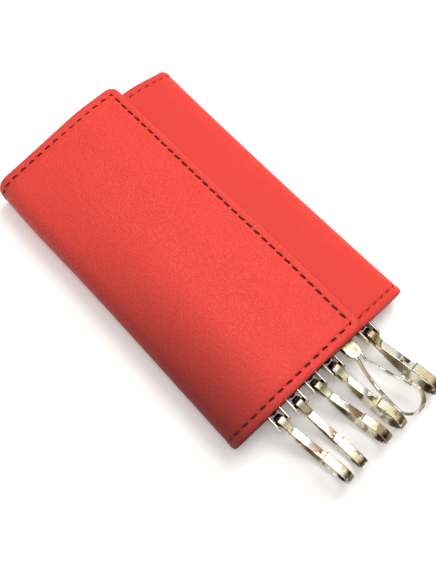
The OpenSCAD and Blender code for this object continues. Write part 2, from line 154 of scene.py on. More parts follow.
class Paint:
    """A socket in a material, with arithmetic that adds Math nodes."""

    tree = None

    def __init__(self, socket):
        self.socket = socket

    @classmethod
    def node(cls, kind, settings=None, inputs=None, out=0):
        """Adds a node, gives it its settings, then the values or links of its sockets."""
        added = cls.tree.nodes.new("ShaderNode" + kind)
        for key, value in (settings or {}).items():
            if key == "stops":
                ramp = added.color_ramp
                while len(ramp.elements) < len(value):
                    ramp.elements.new(0.5)
                for element, (place, colour) in zip(ramp.elements, value):
                    element.position = place
                    element.color = colour if len(colour) == 4 else (*colour, 1)
            else:
                setattr(added, key, value)
        for key, value in (inputs or {}).items():
            if isinstance(value, Paint):
                cls.tree.links.new(value.socket, added.inputs[key])
            else:
                added.inputs[key].default_value = value
        return cls(added.outputs[out])

    def math(self, operation, other=None, first=False):
        """Adds a Math node. first says whether the other value comes before this one."""
        pair = [self] if other is None else ([other, self] if first else [self, other])
        return Paint.node("Math", {"operation": operation}, dict(enumerate(pair)))

    def __add__(self, other):
        return self.math("ADD", other)

    __radd__ = __add__

    def __sub__(self, other):
        return self.math("SUBTRACT", other)

    def __rsub__(self, other):
        return self.math("SUBTRACT", other, True)

    def __mul__(self, other):
        return self.math("MULTIPLY", other)

    __rmul__ = __mul__

    def __truediv__(self, other):
        return self.math("DIVIDE", other)

    def clamped(self):
        return self.math("MAXIMUM", 0.0).math("MINIMUM", 1.0)

    def sine(self):
        return self.math("SINE")

    def mapped(self, low, high, to_low=0.0, to_high=1.0):
        """Eases the value from low..high to to_low..to_high."""
        return Paint.node("MapRange", {"interpolation_type": "SMOOTHSTEP"},
                          {0: self, 1: low, 2: high, 3: to_low, 4: to_high})


def blended(first, second, share):
    """Mixes two colours by a share."""
    return Paint.node("Mix", {"data_type": "RGBA"}, {0: share, 6: first, 7: second}, MIX_OUT)


def scaled(vector, factors):
    """Stretches or squeezes a pattern's place."""
    return Paint.node("VectorMath", {"operation": "MULTIPLY"}, {0: vector, 1: factors})


def parts(vector):
    """The three numbers of a vector."""
    split = Paint.node("SeparateXYZ", None, {0: vector})
    return [Paint(split.socket.node.outputs[k]) for k in range(3)]


def solid_place():
    """Place in the piece's own mesh, in metres."""
    return Paint.node("TexCoord", None, None, OBJECT_OUT)


def skin_place():
    """Place on a sheet or strip: along it, across it, and which face."""
    return Paint.node("Attribute", {"attribute_name": SKIN}, None, VECTOR_OUT)


def ray(kind):
    """1 for rays of one kind and 0 for all others."""
    return Paint.node("LightPath", None, None, kind)


def cloudy(vector, scale, detail=3.0, roughness=0.5):
    """Soft noise from 0 to 1."""
    return Paint.node("TexNoise", None,
                      {"Vector": vector, "Scale": scale, "Detail": detail, "Roughness": roughness})


def cells(vector, scale, feature="F1"):
    """Distance in a pattern of cells."""
    return Paint.node("TexVoronoi", {"feature": feature}, {"Vector": vector, "Scale": scale})


def raised(height, depth, strength=1.0):
    """Relief of a height from 0 to 1 that is a depth in metres."""
    return Paint.node("Bump", None, {"Strength": strength, "Distance": depth, "Height": height})


def finish(colour, roughness, metallic=0.0, normal=None, **steady):
    """Closes a material with its Principled shader."""
    shader = Paint.tree.nodes["Principled BSDF"]
    for key, value in {"Base Color": colour, "Roughness": roughness, "Metallic": metallic,
                       "Normal": normal, **steady}.items():
        if isinstance(value, Paint):
            Paint.tree.links.new(value.socket, shader.inputs[key])
        elif value is not None:
            shader.inputs[key].default_value = value


def start(name):
    """A new material, whose nodes are the ones added next."""
    material = bpy.data.materials.new(name)
    material.use_nodes = True
    Paint.tree = material.node_tree
    return material


def rgb(red, green, blue):
    """A colour as it looks on screen, made linear."""
    shares = [c / 255 for c in (red, green, blue)]
    return tuple(((c + 0.055) / 1.055) ** 2.4 if c > 0.04045 else c / 12.92 for c in shares) + (1.0,)


cream, straw, taupe = rgb(250, 246, 226), rgb(232, 218, 172), rgb(128, 108, 84)
white, slate, umber = rgb(252, 252, 248), rgb(176, 184, 196), rgb(74, 56, 40)


def leather_finish(name, bright, deep, crease):
    """Smooth leather: fine grain drawn out a little one way, soft clouds of tone, and painted shade.

    The outer flap's side is grained, and painted darker towards its fold and the hooks as painted shade,
    where it is also rougher. The other is smoother, and painted a little darker away from its fold, also as
    painted shade. crease is the dark tone of the pores, the cut rim and the painted shade.
    """
    material = start(name)
    place = skin_place()
    along, across, side = parts(place)
    stray = Paint.node("TexNoise", None, {"Vector": place, "Scale": 900.0, "Detail": 2.0}, COLOUR_OUT)
    moved = Paint.node("VectorMath", {"operation": "MULTIPLY_ADD"},
                       {0: stray, 1: (0.0007,) * 3, 2: scaled(place, (0.8, 1.25, 1.0))})
    pebble = cells(moved, 1500.0, "DISTANCE_TO_EDGE").mapped(0.0, 0.3)
    wrinkle = cloudy(scaled(moved, (0.6, 1.5, 1.0)), 1250.0, 3.0, 0.6)
    cloud = cloudy(place, 42.0, 3.0)
    drift = cloudy(place, 160.0, 3.0)
    tone = blended(deep, bright, (cloud * 0.8 + drift * 0.3 - 0.05).clamped())
    outer = side.mapped(-0.01, -0.03)
    # Painted shade: the outer side darkens towards its fold, most at the hooks' end. The same mask makes
    # that zone rougher.
    fold_shade = (along.mapped(-0.06, 0.05) * 0.85 + 0.15) * across.mapped(0.027, 0.005) * outer
    tone = blended(tone, crease, (fold_shade * (drift * 0.2 + 0.75)).clamped())
    rim = side.math("ABSOLUTE").mapped(0.053, 0.06)
    tone = blended(tone, crease, rim * (drift * 0.4 + 0.35))
    grain = outer * 0.75 + 0.25
    pores = (0.62 - pebble * 0.35 - wrinkle * 0.5) * 0.25 * grain
    # Painted shade: the inner side is painted darker on its flap, away from the fold, against the lamp's
    # light there.
    inner_shade = (1.0 - outer) * across.mapped(0.0, 0.012, 0.05, 0.24)
    tone = blended(tone, crease, (pores + inner_shade).clamped())
    height = (pebble * 0.45 + wrinkle * 0.9) * grain
    shine = 0.5 - pebble * 0.06 + (cloud - 0.5) * 0.08 + fold_shade * 0.3 + (1.0 - outer) * 0.12
    finish(tone, shine, normal=raised(height, 0.00016, 1.0), **{"Specular IOR Level": 0.6})
    return material


def cloth_finish(name, bright, deep):
    """Closely woven lining with a slanting rib."""
    material = start(name)
    place = skin_place()
    along, across = parts(place)[:2]
    rib = ((along + across) * 9000.0).sine() * 0.5 + 0.5
    weft = ((along - across) * 9000.0).sine() * 0.5 + 0.5
    patch = cloudy(place, 300.0, 3.0)
    tone = blended(deep, bright, (rib * 0.5 + weft * 0.2 + patch * 0.4).clamped())
    finish(tone, 0.78 + weft * 0.12, normal=raised(rib * 0.7 + weft * 0.3, 0.00006, 0.6))
    return material


def thread_finish(name, bright, deep):
    """Waxed thread of twisted strands."""
    material = start(name)
    place = solid_place()
    along, across, up = parts(place)
    twist = ((along + across + up) * 16000.0).sine() * 0.5 + 0.5
    fuzz = cloudy(place, 2500.0, 2.0)
    tone = blended(deep, bright, (twist * 0.6 + fuzz * 0.4 - 0.1).clamped())
    finish(tone, 0.5 + fuzz * 0.2, normal=raised(twist, 0.00005, 0.6))
    return material


def metal_finish(name, bright, warm, dark):
    """Nickel plating: warm tone in clouds, fine rubbing marks, small pits."""
    material = start(name)
    place = solid_place()
    cloud = cloudy(place, 170.0, 2.0)
    rub = cloudy(scaled(place, (1.0, 9.0, 1.0)), 1100.0, 3.0)
    speck = cells(place, 1300.0).mapped(0.08, 0.2)
    tone = blended(bright, warm, cloud.mapped(0.4, 0.66))
    tone = blended(dark, tone, (speck * 0.25 + 0.75).clamped())
    finish(tone, 0.13 + rub * 0.14, 1.0, normal=raised(rub * 0.7 + cloud * 0.6, 0.00002, 0.35))
    return material


def strip_finish(name, reflection_stops, length, flank_reflection, pit, reflection_blots=1.0):
    """Bent plated strip: painted reflections in bands along its length, flanks painted in a reflection tone
    of their own, blots of painted dark and white reflection, small dark pits.
    """
    material = start(name)
    travel, across, flank = parts(skin_place())
    solid = solid_place()
    smear = cloudy(solid, 260.0, 3.0)
    rub = cloudy(scaled(solid, (1.0, 9.0, 1.0)), 1100.0, 3.0)
    speck = cells(solid, 1300.0).mapped(0.06, 0.2)
    share = (travel + (smear - 0.5) * 0.005 + across * 0.3) / length
    # Painted reflections and highlights: tone stops in bands along the strip, and flanks in a reflection
    # tone of their own.
    tone = Paint.node("ValToRGB", {"stops": reflection_stops}, {0: share})
    tone = blended(tone, blended(flank_reflection, tone, (rub * 0.3 + 0.1).clamped()), flank.mapped(0.2, 0.8))
    # Painted reflections: soft blots of the flank tone and of white.
    reflection_blot = cloudy(scaled(solid, (1.0, 1.0, 1.7)), 210.0, 3.0, 0.6)
    tone = blended(tone, flank_reflection, reflection_blot.mapped(0.55, 0.58, 0.0, 0.6 * reflection_blots))
    tone = blended(tone, white, reflection_blot.mapped(0.44, 0.41, 0.0, 0.75 * reflection_blots))
    tone = blended(pit, tone, (speck * 0.22 + smear * 0.25 + 0.7).clamped())
    finish(tone, 0.14 + rub * 0.14 + smear * 0.06, 1.0,
           normal=raised(rub * 0.5 + smear * 0.9, 0.00005, 0.5))
    return material


def board_finish(name):
    """Grey fibre board."""
    material = start(name)
    place = solid_place()
    fibre = cloudy(scaled(place, (1.0, 4.0, 1.0)), 900.0, 4.0)
    fleck = cells(place, 700.0).mapped(0.1, 0.3)
    tone = blended(rgb(118, 108, 98), rgb(160, 150, 138), (fibre * 0.8 + fleck * 0.2).clamped())
    finish(tone, 0.85 - fibre * 0.1, normal=raised(fibre, 0.0001, 0.5))
    return material


red_leather = leather_finish("red_leather", rgb(241, 64, 52), rgb(232, 57, 45), rgb(112, 25, 19))
lining_cloth = cloth_finish("lining_cloth", rgb(96, 20, 28), rgb(52, 10, 16))
thread = thread_finish("thread", rgb(62, 10, 14), rgb(20, 4, 6))
faint_thread = thread_finish("faint_thread", rgb(170, 38, 36), rgb(112, 20, 22))
bright_nickel = metal_finish("bright_nickel", rgb(236, 230, 214), rgb(206, 192, 164), rgb(110, 98, 82))
# The stops of the loops, gates and brackets are painted reflections and highlights. The bracket's dark
# middle is painted shade and reflection.
loop_nickel = strip_finish("loop_nickel", [
    (0.0, umber), (0.12, taupe), (0.17, straw), (0.3, taupe), (0.42, cream), (0.535, umber), (0.555, cream),
    (0.59, straw), (0.6, umber), (0.635, taupe), (0.66, straw), (0.8, cream), (1.0, taupe)],
    0.056, rgb(100, 80, 60), umber)
gate_nickel = strip_finish("gate_nickel", [
    (0.0, umber), (0.15, umber), (0.165, cream), (0.36, straw), (0.385, umber), (0.41, white),
    (0.57, white), (0.62, slate), (0.67, taupe), (0.74, umber), (0.78, straw), (0.9, cream), (1.0, taupe)],
    0.0245, rgb(108, 88, 66), umber)
bracket_nickel = strip_finish("bracket_nickel", [
    (0.0, cream), (0.2, straw), (0.3, umber), (0.7, umber), (0.8, straw), (1.0, cream)],
    0.0163, white, taupe, 0.15)
pin_nickel = metal_finish("pin_nickel", rgb(238, 228, 190), rgb(214, 198, 154), rgb(110, 98, 82))
# Nickel painted dark burgundy for the swivel rivet heads: painted shade and a painted reflection of the red
# leather.
shade_painted_nickel = metal_finish("shade_painted_nickel", rgb(84, 46, 42), rgb(60, 30, 28), rgb(34, 18, 17))
plate_nickel = metal_finish("plate_nickel", rgb(205, 200, 188), rgb(184, 176, 158), rgb(110, 104, 92))
grey_board = board_finish("grey_board")


def shown(name, data):
    """Puts data into the scene as an object."""
    thing = bpy.data.objects.new(name, data)
    bpy.context.scene.collection.objects.link(thing)
    return thing


def made(name, work, material):
    """Turns worked millimetres into a finished object at the origin."""
    bmesh.ops.scale(work, vec=(MM, MM, MM), verts=work.verts)
    mesh = bpy.data.meshes.new(name)
    work.to_mesh(mesh)
    work.free()
    mesh.shade_smooth()
    mesh.materials.append(material)
    thing = shown(name, mesh)
    return thing


# Leather and lining: each side is one sheet, worked flat as distance along the case and
# distance from the middle of its fold, and then wrapped round the fold

# Stations near a free edge, where the edge is rounded and the seam lies
STEPS = [0, 0.02, 0.08, 0.18, 0.32, 0.5, 0.75, 1.05, 1.4, 1.75, 2.05, 2.28, 2.45, 2.6, 2.75, 2.92, 3.15,
         3.4, 3.8, 4.3, 4.5, 4.9, 5.5, 6.4, 7.6, 9.2]
CORNER_ZONE = 6.4


def swell(distance, width):
    """A smooth swelling, 1 at no distance."""
    return math.exp(-((distance / width) ** 2))


def eased(share):
    """Goes smoothly from 0 to 1 as the share does."""
    share = min(max(share, 0.0), 1.0)
    return share * share * (3 - 2 * share)


class Side:
    """Section of one side of the case: a path over its outer face from the middle of the fold."""

    def __init__(self, sign, word, radius, height, cover, crease, corner, seed):
        """A slope tangent to the fold climbs to a crease, and from there the flap is level."""
        self.sign, self.word, self.radius = sign, word, radius
        self.corner, self.seed = corner, seed
        self.centre = CASE_WIDTH / 2 - radius
        run, lift = self.centre - crease, height - radius
        self.slope = math.atan2(lift, run) - math.asin(radius / math.hypot(run, lift))
        self.quarter = radius * (math.pi / 2 - self.slope / 2)
        climb = (height - radius - radius * math.cos(self.slope)) / math.sin(self.slope)
        self.bend = min(CREASE_R, 0.9 * climb / math.tan(self.slope / 2))
        self.climb = climb - self.bend * math.tan(self.slope / 2)
        self.crest = self.climb + self.bend * self.slope
        free_out = CASE_WIDTH / 2 - cover
        self.reach = self.quarter + self.crest + self.level(self.crest)[0].x - free_out
        self.back_reach = self.quarter + self.centre

    def level(self, run):
        """Place and outward direction on the flap, past its share of the fold."""
        full = self.slope
        on_slope = min(run, self.climb)
        left = full - min(max((run - self.climb) / self.bend, 0.0), full)
        place = Vector((self.centre + self.radius * math.sin(full),
                        self.radius + self.radius * math.cos(full)))
        place += on_slope * Vector((-math.cos(full), math.sin(full)))
        place += self.bend * Vector((math.sin(left) - math.sin(full), math.cos(left) - math.cos(full)))
        place.x -= max(run - self.crest, 0.0)
        return place, Vector((math.sin(left), math.cos(left)))

    def drawn(self, x, along, upper):
        """A place on the flat sheet, moved as the sheet is drawn out of true by its use.

        The outer flap's free edge bows, most past its middle. The inner side lies a little nearer the hooks.
        """
        share = x / (CASE_LEN / 2)
        if self.sign < 0:
            bow = 0.6 + 0.45 * share - 0.15 * share ** 2 + 0.3 * swell(share - 0.5, 0.35)
            return x, along + (bow * (max(along, 0.0) / self.reach) ** 2 if upper else 0.0)
        fade = 1.0 if upper else 1.0 - eased(along / self.back_reach)
        return x + (0.95 - 0.75 * share) * fade, along

    def pinch(self, x, along):
        """How far the fold is drawn in: the outer one bulges near its far end, the inner one sinks."""
        share = x / (CASE_LEN / 2)
        fade = 1.0 - eased((along - self.quarter) / 7.0)
        if self.sign < 0:
            return -0.65 * swell(share + 0.72, 0.42) * fade
        return (0.45 + 0.55 * (1 - share ** 2)) * fade

    def at(self, x, along, depth, upper):
        """Place under the outer face, from the fold's middle up over the flap or down under the back."""
        if along < 0:
            along, upper = -along, not upper
        x, along = self.drawn(x, along, upper)
        if along > self.quarter:
            if upper:
                place, out = self.level(along - self.quarter)
            else:
                place, out = Vector((self.centre - (along - self.quarter), 0.0)), Vector((0.0, -1.0))
            place = place - depth * out
        else:
            angle = (along if upper else -along) / self.radius - self.slope / 2
            far = self.radius - depth
            place = Vector((self.centre + far * math.cos(angle), self.radius + far * math.sin(angle)))
        return Vector((x, self.sign * (place.x - self.pinch(x, along)), place.y))

    def ends(self):
        """The fold's lower start, middle and upper end, on its outer face, in metres."""
        return [tuple(self.at(0, along, 0, upper) * MM)
                for along, upper in ((self.quarter, False), (0, True), (self.quarter, True))]

    def carried(self, thing, upper):
        """Bakes a sheet's or thread's place into its own mesh, alike on the flap and the back; the fold's
        ends are worked out but not used.
        """
        low, middle, high = self.ends()
        if upper:
            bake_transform(thing)
        else:
            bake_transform(thing)


OUTER = Side(-1, "outer", OUTER_FOLD_R, OUTER_TOP, OUTER_COVER, OUTER_CREASE, OUTER_CORNER, 3.1)
INNER = Side(1, "inner", INNER_FOLD_R, INNER_TOP, INNER_COVER, INNER_CREASE, INNER_CORNER, 7.7)


def rounded_corner(a, b, radius):
    """Moves a point near a square corner, at distances a and b from the edges, to a rounded one."""
    ring, far = min(a, b), max(a, b)
    if far >= CORNER_ZONE or ring >= radius:
        return a, b
    bend = radius - ring
    half = CORNER_ZONE - radius + bend * math.pi / 4
    travel = half * (far - ring) / (CORNER_ZONE - ring)
    if travel <= bend * math.pi / 4:
        angle = math.radians(225) - travel / bend
        near, off = radius + bend * math.cos(angle), radius + bend * math.sin(angle)
    else:
        near, off = ring, radius + travel - bend * math.pi / 4
    return (near, off) if a <= b else (off, near)


def spread(length, free_ends, middle):
    """Stations over a length, with close steps at its free ends."""
    start_steps = STEPS if free_ends[0] else [0, 0.03]
    end_steps = STEPS if free_ends[1] else [0, 0.03]
    first, last = start_steps[-1], length - end_steps[-1]
    count = max(1, round((last - first) / middle))
    inner = [first + (last - first) * k / count for k in range(1, count)]
    return list(start_steps) + inner + [length - d for d in reversed(end_steps)]


def gridded(columns, rows):
    """A grid with its vertices in rows, as a list of lists, and a layer for their place on the skin."""
    work = bmesh.new()
    skin = work.verts.layers.float_vector.new(SKIN)
    bmesh.ops.create_grid(work, x_segments=columns - 1, y_segments=rows - 1, size=1)
    places = [[None] * columns for _ in range(rows)]
    for v in work.verts:
        i = round((v.co.x + 1) / 2 * (columns - 1))
        j = round((v.co.y + 1) / 2 * (rows - 1))
        places[j][i] = v
    return work, places, skin


def quiet(x, y, seed):
    """Slow unevenness of a soft sheet, from -1 to 1."""
    slow = noise.noise(Vector((x / 26.0, y / 21.0, seed)))
    return slow + 0.4 * noise.noise(Vector((x / 9.0, y / 8.0, seed + 9)))


def sheet(side, upper, half, reach, corner, top, under, middle=2.6):
    """A closed sheet with rounded edges. top and under give its faces' depths at a place.

    The skin's third number tells the sides of the case apart by its sign, and grows on the cut rims.
    """
    xs = [x - half for x in spread(2 * half, (True, True), middle)]
    alongs = spread(reach, (False, upper), 0.9)
    work, places, skin = gridded(len(xs), len(alongs))
    flat = {}
    for j, along in enumerate(alongs):
        for i, x in enumerate(xs):
            a, b = half - abs(x), (reach - along if upper else 99.0)
            near = min(a, b)
            a, b = rounded_corner(a, b, corner)
            px = math.copysign(half - a, x)
            pa = reach - b if upper else along
            flat[places[j][i]] = (px, pa, near)
    copy = bmesh.ops.duplicate(work, geom=work.verts[:] + work.edges[:] + work.faces[:])
    back = {source: twin for source, twin in copy["vert_map"].items() if source in flat}
    for v, (px, pa, near) in flat.items():
        high, low = top(near, px, pa), under(near, px, pa)
        if near <= 0:
            high = low
        v.co = side.at(px, pa, high, upper)
        back[v].co = side.at(px, pa, low, upper)
        rim = RIM_TONE * (1.0 - eased(near / RIM_WIDTH))
        across = (pa if upper else -pa) * MM
        for twin, face in ((v, 0.0), (back[v], BACK_FACE)):
            twin[skin] = Vector((px * MM, across, side.sign * (0.05 + rim) + face))
    rims = [v for v in work.verts if v.is_boundary]
    bmesh.ops.remove_doubles(work, verts=rims, dist=0.0005)
    bmesh.ops.holes_fill(work, edges=[e for e in work.edges if e.is_boundary], sides=0)
    bmesh.ops.recalc_face_normals(work, faces=work.faces[:])
    return work


def thickened(side, along):
    """Eases from 0 on the fold to 1 where the board and the turned edges begin."""
    return eased((along - side.quarter + 2.0) / 2.5)


def eased_edge(near, width, depth):
    """Depth of a rounded edge at a distance from it."""
    return depth * (1 - math.sqrt(max(0.0, 1 - (1 - near / width) ** 2))) if near < width else 0.0


def leather_depths(side, upper):
    """Depths of a leather side's outer and inner faces: rounded edge, padded margin, seam groove."""
    def top(near, x, along):
        mid = (LEATHER + BOARD * thickened(side, along)) / 2
        groove = 0.24 * swell(near - SEAM, 0.36)
        pad = -0.1 * swell(near - 1.5, 0.7) - 0.1 * swell(near - 4.3, 1.1) * thickened(side, along)
        calm = min(1.0, max(0.0, (near - 4.0) / 6.0)) * min(1.0, max(0.0, along) / 6.0)
        slack = 0.14 * quiet(x, along, side.seed) * calm if upper else 0.0
        plump = 0.0
        if upper and side.sign < 0:
            plump = 0.9 * swell(along - 21.0, 9.0) * (0.5 + 0.5 * x / (CASE_LEN / 2)) * min(1.0, near / 6.0)
        return eased_edge(near, 1.2, mid) + groove + pad - slack - plump

    def under(near, x, along):
        whole = LEATHER + BOARD * thickened(side, along)
        recess = BOARD * thickened(side, along) * min(1.0, max(0.0, (near - 4.5) / 0.1))
        return whole - eased_edge(near, 0.8, whole / 2) - recess

    return top, under


def lining_depths(side):
    """Depths of a lining's faces, right under the leather and board."""
    def face(along):
        return LEATHER + BOARD * thickened(side, along) + 0.01

    def top(near, x, along):
        return face(along) + eased_edge(near, 0.5, 0.3)

    def under(near, x, along):
        return face(along) + LINING - eased_edge(near, 0.5, 0.3)

    return top, under


def wrap_cover(side):
    """Leather and lining of one side of the case, each from its fold's middle both ways."""
    half = CASE_LEN / 2
    for upper, reach, part in ((True, side.reach, "flap"), (False, side.back_reach, "back")):
        top, under = leather_depths(side, upper)
        hide = sheet(side, upper, half, reach, side.corner, top, under)
        skin = made(f"{side.word}_{part}_skin", hide, red_leather)
        top, under = lining_depths(side)
        inset = reach - LINING_INSET if upper else reach
        cloth = sheet(side, upper, half - LINING_INSET, inset, side.corner - LINING_INSET / 2, top, under,
                      5.0)
        inside = made(f"{side.word}_{part}_inside", cloth, lining_cloth)
        for thing, kind in ((skin, "leather"), (inside, "lining")):
            side.carried(thing, upper)
            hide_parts(f"{side.word}_flap_{kind}" if upper else f"centre_{kind}",
                        f"{side.word}_fold_{kind}")


wrap_cover(OUTER)
wrap_cover(INNER)


# Sewing along the free edges and the short ends

def stitch(work, places, ups, radius, sink):
    """One stitch: thread that follows its places, thinner and deeper at both ends."""
    count = len(places)
    rings = []
    for k, (place, up) in enumerate(zip(places, ups)):
        heading = (places[min(k + 1, count - 1)] - places[max(k - 1, 0)]).normalized()
        across = up.cross(heading).normalized()
        share = abs(2 * k / (count - 1) - 1)
        size = radius * math.sqrt(max(0.02, 1 - share ** 5))
        lift = radius * 0.45 - sink * share ** 3
        rings.append([work.verts.new(place + across * (math.cos(a) * size)
                                     + up * (math.sin(a) * size * 0.8 + lift)) for a in THREAD_ROUND])
    turns = len(THREAD_ROUND)
    for first, second in zip(rings, rings[1:]):
        for m in range(turns):
            work.faces.new((first[m], first[(m + 1) % turns], second[(m + 1) % turns], second[m]))
    work.faces.new(rings[0])
    work.faces.new(reversed(rings[-1]))


def seam_spots(side):
    """Middles of the stitches as flat paths: x, along, and whether they belong to the flap."""
    half = CASE_LEN / 2 - SEAM
    end = side.reach - SEAM
    count = round(2 * half / FREE_PITCH)
    pitch = 2 * half / count
    spots = []
    for k in range(1, count):
        middle = half - k * pitch
        spots.append((True, [(middle + d * FREE_STRETCH, end + FREE_SLANT * d) for d in STITCH_STEPS]))
    for x, turn in ((half, 1), (-half, -1)):
        path = []
        for d in STITCH_STEPS:
            if d < -CORNER_BEND:
                path.append((x, end + d + CORNER_BEND - 0.1))
            elif d > CORNER_BEND:
                path.append((x - turn * (d - CORNER_BEND + 0.1), end))
            else:
                path.append((x - turn * (0.1 + d / 3.5), end - 0.1 + d / 3.5))
        spots.append((True, path))
    for x in (half, -half):
        middle = end - PITCH
        while middle > -side.back_reach:
            upper = middle > 0
            inset = math.copysign(wander(side, x, middle), x) if upper else 0.0
            way = 1 if upper else -1
            spots.append((upper, [(x - inset + SLANT * d, way * (middle + d * SHORT_STRETCH))
                                  for d in STITCH_STEPS]))
            middle -= PITCH
    return spots


def wander(side, x, along):
    """How far a short end's seam runs inside its line, most on the outer flap's far end."""
    far = side.sign < 0 and x < 0
    strayed = 0.5 * swell(along - 0.68 * side.reach, 0.17 * side.reach) if far else 0.0
    return strayed + 0.1 * quiet(along, x, side.seed)


def sew(side, radius, material):
    """Stitches of one side of the case, laid on the leather's own face."""
    work = {True: bmesh.new(), False: bmesh.new()}
    faces = {upper: leather_depths(side, upper)[0] for upper in (True, False)}
    for upper, path in seam_spots(side):
        places, ups = [], []
        for x, along in path:
            near = min(CASE_LEN / 2 - abs(x), side.reach - along if upper else 99.0)
            depth = max(faces[upper](near, x, along), faces[upper](SEAM, x, along))
            face, deep = side.at(x, along, depth, upper), side.at(x, along, depth + 0.8, upper)
            places.append(face)
            ups.append((face - deep).normalized())
        stitch(work[upper], places, ups, radius, 0.2)
    for upper, part in ((True, "flap"), (False, "back")):
        bmesh.ops.recalc_face_normals(work[upper], faces=work[upper].faces[:])
        seam = made(f"{side.word}_{part}_thread", work[upper], material)
        side.carried(seam, upper)


sew(OUTER, THREAD_R * 1.05, thread)
sew(INNER, THREAD_R * 0.8, faint_thread)


# Metal parts bent from strip

def arc(centre, radius, first, last, count):
    """Points on a circle from one angle to another, in degrees."""
    return [Vector((centre[0] + radius * math.cos(math.radians(first + (last - first) * k / count)),
                    centre[1] + radius * math.sin(math.radians(first + (last - first) * k / count))))
            for k in range(count + 1)]


def bow(a, b, c, count, first=0.0, last=1.0):
    """Part of the curve that leaves a towards b and arrives at c from b."""
    shares = [first + (last - first) * k / count for k in range(count + 1)]
    return [(1 - t) ** 2 * a + 2 * t * (1 - t) * b + t * t * c for t in shares]


def outline_of(width, thick, edge):
    """A strip's section with rounded edges, as places across and through it."""
    spots = []
    for sx, sy, turn in ((1, 1, 0), (-1, 1, 90), (-1, -1, 180), (1, -1, 270)):
        arc_spots = []
        for k in range(4):
            angle = math.radians(turn + 30 * k)
            arc_spots.append((sx * (width - edge) + edge * math.cos(angle),
                              sy * (thick - edge) + edge * math.sin(angle)))
        hold = max(0.0, width - edge - 0.06)
        level = sy * thick
        if turn in (0, 180):
            spots += arc_spots + [(sx * hold, level)]
        else:
            spots += [(sx * hold, level)] + arc_spots
    return spots


def bent_strip(line, half, thick, edge, lay):
    """Sweeps a strip along a line. half gives half its width at a place on the line, lay the 3-D place.

    The skin holds the travel along the strip, the place across it, and 1 on its flanks.
    """
    ends = [line[0], line[0] + (line[1] - line[0]).normalized() * edge]
    tail = [line[-1] + (line[-2] - line[-1]).normalized() * edge, line[-1]]
    points = ends + line[1:-1] + tail
    small = [1] + [0] * (len(points) - 2) + [1]
    travel = [0.0]
    for a, b in zip(points, points[1:]):
        travel.append(travel[-1] + (b - a).length)
    rings, widths = [], []
    for k, p in enumerate(points):
        before = points[max(k - 1, 0)]
        after = points[min(k + 1, len(points) - 1)]
        if 0 < k < len(points) - 1:
            heading = (p - before).normalized() + (after - p).normalized()
        else:
            heading = after - before
        heading.normalize()
        normal = Vector((-heading.y, heading.x))
        width = max(half(p) - edge * small[k] * 0.9, edge * 1.02)
        depth = thick / 2 - edge * small[k] * 0.9
        rim = min(edge, depth * 0.98, width * 0.98)
        rings.append([(p + normal * b, a) for a, b in outline_of(width, depth, rim)])
        widths.append(width)
    work, places, skin = gridded(len(rings), len(rings[0]) + 1)
    for j, row in enumerate(places):
        for i, v in enumerate(row):
            flat, across = rings[i][j % len(rings[0])]
            v.co = lay(flat, across)
            v[skin] = Vector((travel[i] * MM, across * MM, 1.0 if abs(across) > widths[i] - 0.03 else 0.0))
    bmesh.ops.remove_doubles(work, verts=work.verts[:], dist=0.0004)
    bmesh.ops.holes_fill(work, edges=[e for e in work.edges if e.is_boundary], sides=0)
    bmesh.ops.recalc_face_normals(work, faces=work.faces[:])
    return work


def spun(profile, segments, lay):
    """Turns a profile given as radius and height about its axis."""
    work = bmesh.new()
    verts = [work.verts.new((r, 0, h)) for r, h in profile]
    edges = [work.edges.new(pair) for pair in zip(verts, verts[1:])]
    bmesh.ops.spin(work, geom=verts + edges, cent=(0, 0, 0), axis=(0, 0, 1),
                   angle=math.tau, steps=segments, use_merge=True)
    bmesh.ops.remove_doubles(work, verts=work.verts[:], dist=0.0004)
    bmesh.ops.recalc_face_normals(work, faces=work.faces[:])
    bmesh.ops.transform(work, matrix=lay, verts=work.verts[:])
    # A merge leaves verts and faces in an order that differs from run to run
    for elements, place in ((work.verts, lambda v: v.co[:]),
                            (work.faces, lambda f: f.calc_center_median()[:])):
        for k, element in enumerate(sorted(elements, key=place)):
            element.index = k
        elements.sort()
    return work


def joined(works):
    """Puts several worked meshes into one."""
    whole = bmesh.new()
    for work in works:
        mesh = bpy.data.meshes.new("joining")
        work.to_mesh(mesh)
        work.free()
        whole.from_mesh(mesh)
        bpy.data.meshes.remove(mesh)
    return whole


def hook_y(i):
    """Where a hook stands in the row."""
    return ROW_SHIFT + (i - (HOOKS + 1) / 2) * HOOK_PITCH


def bracket_place(i):
    """The frame of a bracket, at its pin."""
    return (Matrix.Translation((PIN_X, hook_y(i), SWIVEL_Z))
            @ Matrix.Rotation(math.radians(SWIVEL_DEG[i - 1]), 4, "X"))


def loop_place(i):
    """The frame of a hook's loop, at its pin."""
    return (bracket_place(i) @ Matrix.Rotation(math.radians(TILT_DEG[i - 1]), 4, "Y")
            @ Matrix.Rotation(math.radians(LEAN_DEG[i - 1]), 4, "Z"))


# A loop's line in its own frame: eye round the pin, neck, arm, round end and free tip
EYE_IN = PIN_R + EYE_PLAY
EYE_R = EYE_IN + STRIP_T / 2
END_R = LOOP_WIDTH / 2 - STRIP_T / 2
END_X = LOOP_LEN - LOOP_WIDTH / 2
END_DEG = 93

